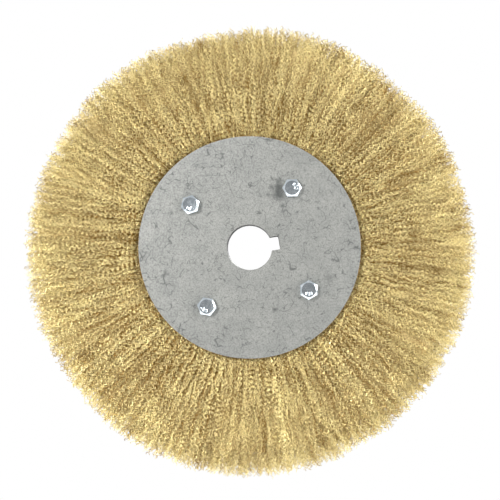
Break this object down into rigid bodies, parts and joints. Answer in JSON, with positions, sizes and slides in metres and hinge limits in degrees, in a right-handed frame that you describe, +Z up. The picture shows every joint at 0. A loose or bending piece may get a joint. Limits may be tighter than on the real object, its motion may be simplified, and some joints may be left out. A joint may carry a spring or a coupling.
{
  "type": "wire wheel brush",
  "caption": "Crimped brass wire wheel brush: a flared ring of radial wires clamped between round steel plates on a keyed bore.",
  "frame": {"origin": "the wheel's centre: on the bore's axis, midway between the outer faces of the two plates", "axes": "+Y along the spin axis, from the bolt heads' side to the nuts' side; +X through the middle of the keyway; +Z up, square to both"},
  "size_m": [0.26, 0.0394, 0.26],
  "materials": {
    "plate_steel": "dull rolled sheet with fine scratches",
    "hub_steel": "machined, dull",
    "ring_steel": "drawn wire, dull",
    "zinc_fastener": "bright zinc plate",
    "brass_wire": "fine crimped wire, satin"
  },
  "bodies": {
    "root": {"front_plate": "plate_steel", "rear_plate": "plate_steel", "hub_disc_1": "hub_steel", "core_ring_1": "ring_steel", "wire_section_1": "brass_wire", "hub_disc_2": "hub_steel", "core_ring_2": "ring_steel", "wire_section_2": "brass_wire", "hub_disc_3": "hub_steel", "core_ring_3": "ring_steel", "wire_section_3": "brass_wire", "bolt_1": "zinc_fastener", "spring_washer_1": "zinc_fastener", "nut_1": "zinc_fastener", "bolt_2": "zinc_fastener", "spring_washer_2": "zinc_fastener", "nut_2": "zinc_fastener", "bolt_3": "zinc_fastener", "spring_washer_3": "zinc_fastener", "nut_3": "zinc_fastener", "bolt_4": "zinc_fastener", "spring_washer_4": "zinc_fastener", "nut_4": "zinc_fastener"}
  },
  "joints": []
}
